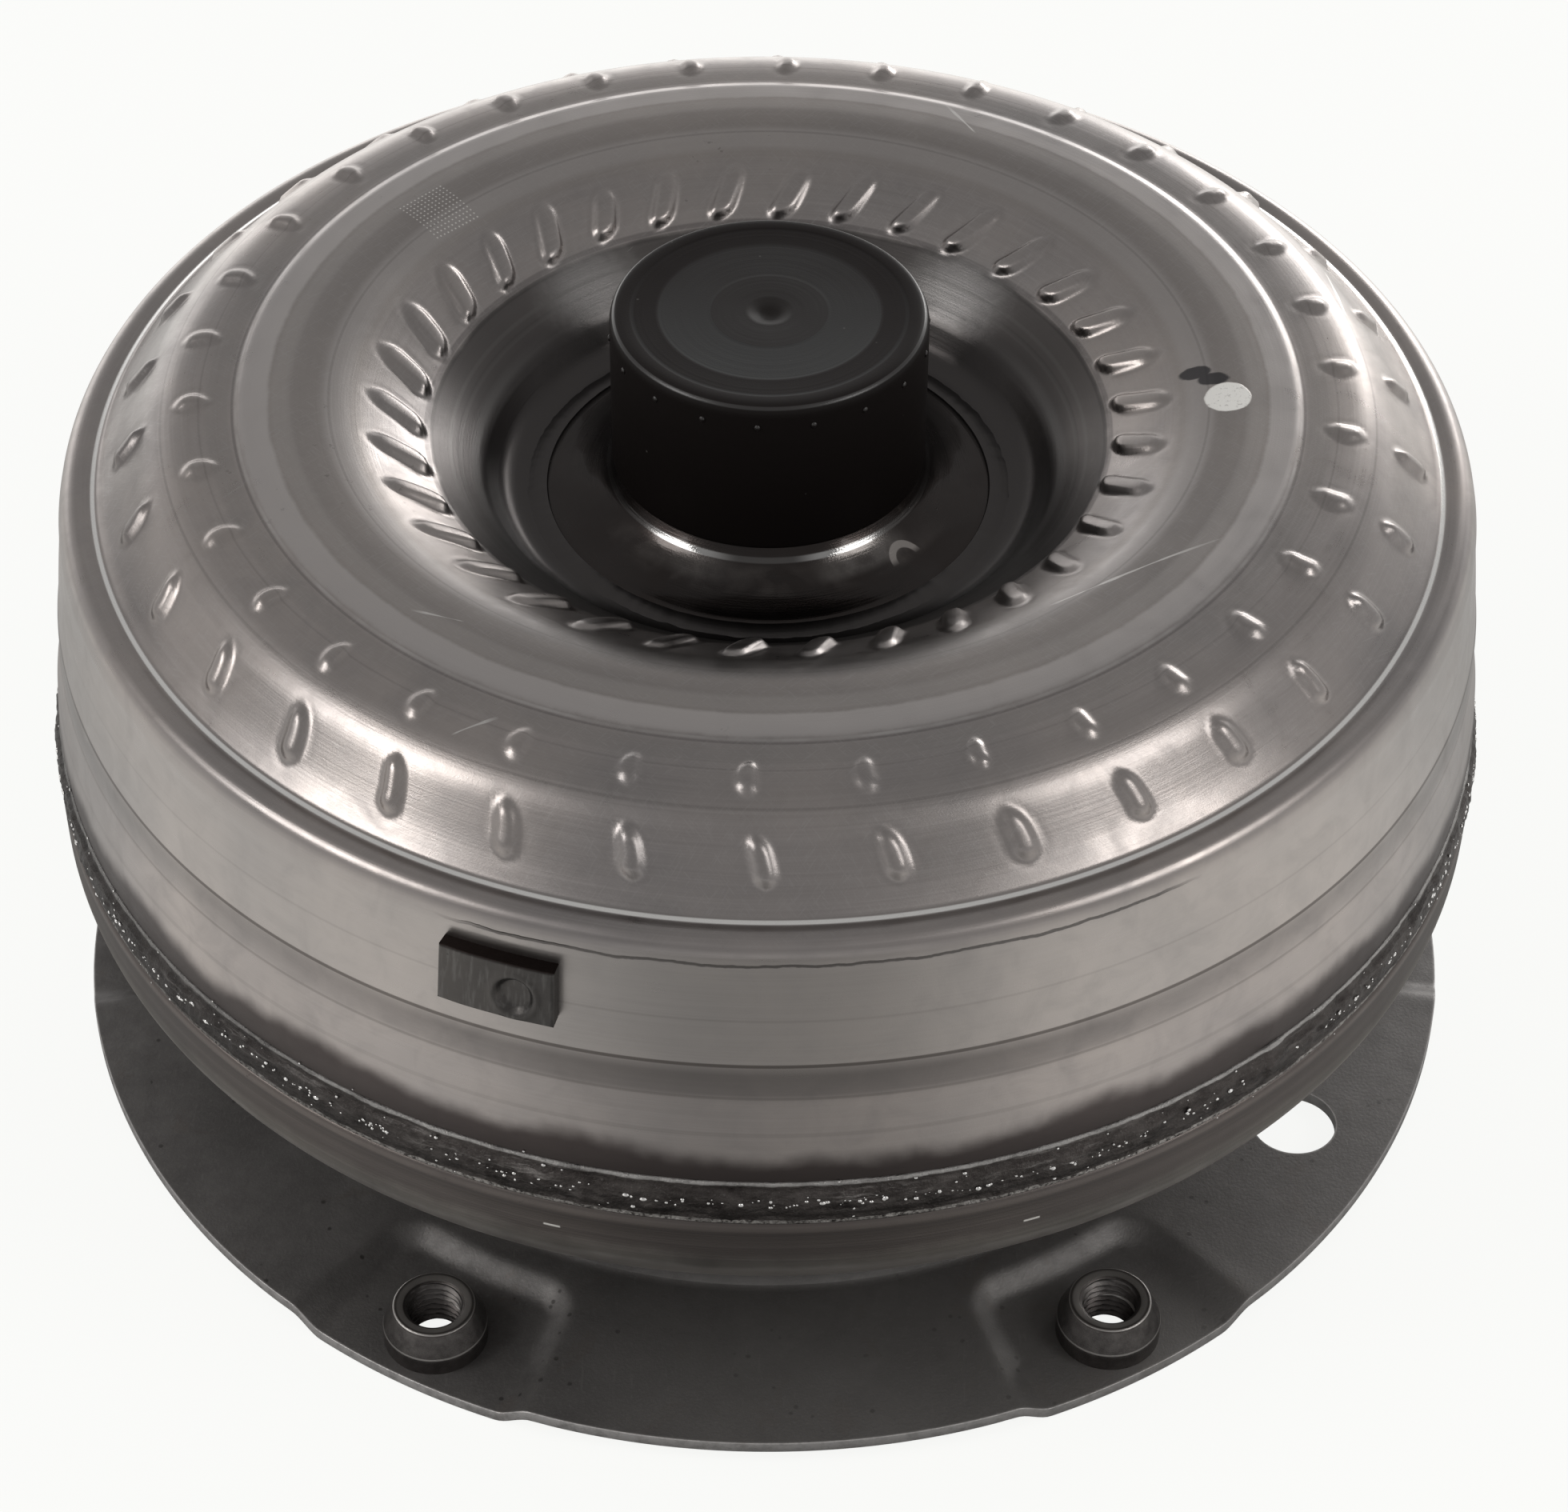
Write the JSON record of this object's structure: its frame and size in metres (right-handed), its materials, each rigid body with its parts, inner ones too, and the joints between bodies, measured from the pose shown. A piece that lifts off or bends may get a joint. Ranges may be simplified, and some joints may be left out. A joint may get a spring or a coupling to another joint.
{
  "type": "torque converter",
  "caption": "Round welded-shell fluid coupling with a flared hub, a bolt-on drive plate, and a turbine, stator, freewheel and lock-up damper inside.",
  "frame": {"origin": "centre of the six drive pads' engine-side faces, on the axis of rotation", "axes": "+Z along the axis of rotation, from the engine side to the pump hub; +X through one drive nut"},
  "size_m": [0.293, 0.293, 0.169],
  "materials": {
    "shell_steel": "satin, brushed round the axis, lightly oiled",
    "dark_plate_steel": "dark oiled pressed steel",
    "weld_bead": "rough dark weld with spatter",
    "machined_steel": "turned",
    "pressed_steel": "pressed sheet",
    "weight_steel": "sheared sheet with a spot weld",
    "black_plastic": "moulded, matte",
    "cast_aluminium": "die cast",
    "friction_paper": "friction paper",
    "seal_plastic": "filled PTFE",
    "spring_steel": "blued spring wire",
    "bearing_steel": "ground"
  },
  "bodies": {
    "housing": {"front_cover": "shell_steel", "pilot_hub": "shell_steel", "pilot_weld": "weld_bead", "drive_plate": "dark_plate_steel", "drive_plate_nuts": "dark_plate_steel", "plate_weld": "weld_bead", "closure_weld": "weld_bead", "pump_shell": "shell_steel", "pump_hub": "machined_steel", "hub_weld": "weld_bead", "pump_blades": "pressed_steel", "pump_core_ring": "pressed_steel", "balance_weight": "weight_steel", "pump_bearing_washer": "bearing_steel", "cover_bearing_washer": "bearing_steel"},
    "cap": {"transport_cap": "black_plastic"},
    "turbine": {"turbine_shell": "pressed_steel", "turbine_blades": "pressed_steel", "turbine_core_ring": "pressed_steel", "turbine_hub": "machined_steel", "turbine_rivets": "pressed_steel", "damper_flange": "pressed_steel", "piston_seal_ring": "seal_plastic", "turbine_bearing_washer": "bearing_steel", "turbine_thrust_washer": "bearing_steel"},
    "damper_cage": {"damper_lower_plate": "pressed_steel", "damper_upper_plate": "pressed_steel", "damper_spacer_rivets": "pressed_steel", "damper_springs": "spring_steel"},
    "piston": {"lockup_piston": "pressed_steel", "friction_lining": "friction_paper"},
    "stator": {"stator_wheel": "cast_aluminium", "freewheel_outer_race": "machined_steel", "freewheel_rollers": "bearing_steel", "freewheel_springs": "spring_steel", "freewheel_front_plate": "pressed_steel", "freewheel_rear_plate": "pressed_steel", "stator_front_washer": "bearing_steel", "stator_rear_washer": "bearing_steel"},
    "freewheel_inner": {"freewheel_inner_race": "machined_steel"},
    "pump_bearing": {"pump_bearing_cage": "bearing_steel", "pump_bearing_needles": "bearing_steel"},
    "turbine_bearing": {"turbine_bearing_cage": "bearing_steel", "turbine_bearing_needles": "bearing_steel"},
    "cover_bearing": {"cover_bearing_cage": "bearing_steel", "cover_bearing_needles": "bearing_steel"}
  },
  "joints": [
    {"name": "cap_lift", "type": "slide", "parent": "housing", "child": "cap", "axis": [0, 0, 1], "range_m": [0, 0.08]},
    {"name": "turbine_spin", "type": "hinge", "parent": "housing", "child": "turbine", "pos_m": [0, 0, 0.08], "axis": [0, 0, 1], "continuous": true},
    {"name": "damper_twist", "type": "hinge", "parent": "turbine", "child": "damper_cage", "pos_m": [0, 0, 0.066], "axis": [0, 0, 1], "range_deg": [-8, 8], "deforming": ["damper_springs"]},
    {"name": "lockup_apply", "type": "slide", "parent": "damper_cage", "child": "piston", "axis": [0, 0, -1], "range_m": [0, 0.001]},
    {"name": "stator_spin", "type": "hinge", "parent": "housing", "child": "stator", "pos_m": [0, 0, 0.108], "axis": [0, 0, 1], "continuous": true},
    {"name": "freewheel", "type": "hinge", "parent": "stator", "child": "freewheel_inner", "pos_m": [0, 0, 0.108], "axis": [0, 0, 1], "continuous": true},
    {"name": "pump_bearing_spin", "type": "hinge", "parent": "housing", "child": "pump_bearing", "pos_m": [0, 0, 0.1194], "axis": [0, 0, 1], "continuous": true},
    {"name": "turbine_bearing_spin", "type": "hinge", "parent": "stator", "child": "turbine_bearing", "pos_m": [0, 0, 0.0972], "axis": [0, 0, 1], "continuous": true},
    {"name": "cover_bearing_spin", "type": "hinge", "parent": "housing", "child": "cover_bearing", "pos_m": [0, 0, 0.0518], "axis": [0, 0, 1], "continuous": true}
  ],
  "couplings": [
    {"joint": "pump_bearing_spin", "follows": "stator_spin", "ratio": 0.5},
    {"joint": "turbine_bearing_spin", "follows": "turbine_spin", "ratio": 0.5},
    {"joint": "cover_bearing_spin", "follows": "turbine_spin", "ratio": 0.5}
  ]
}
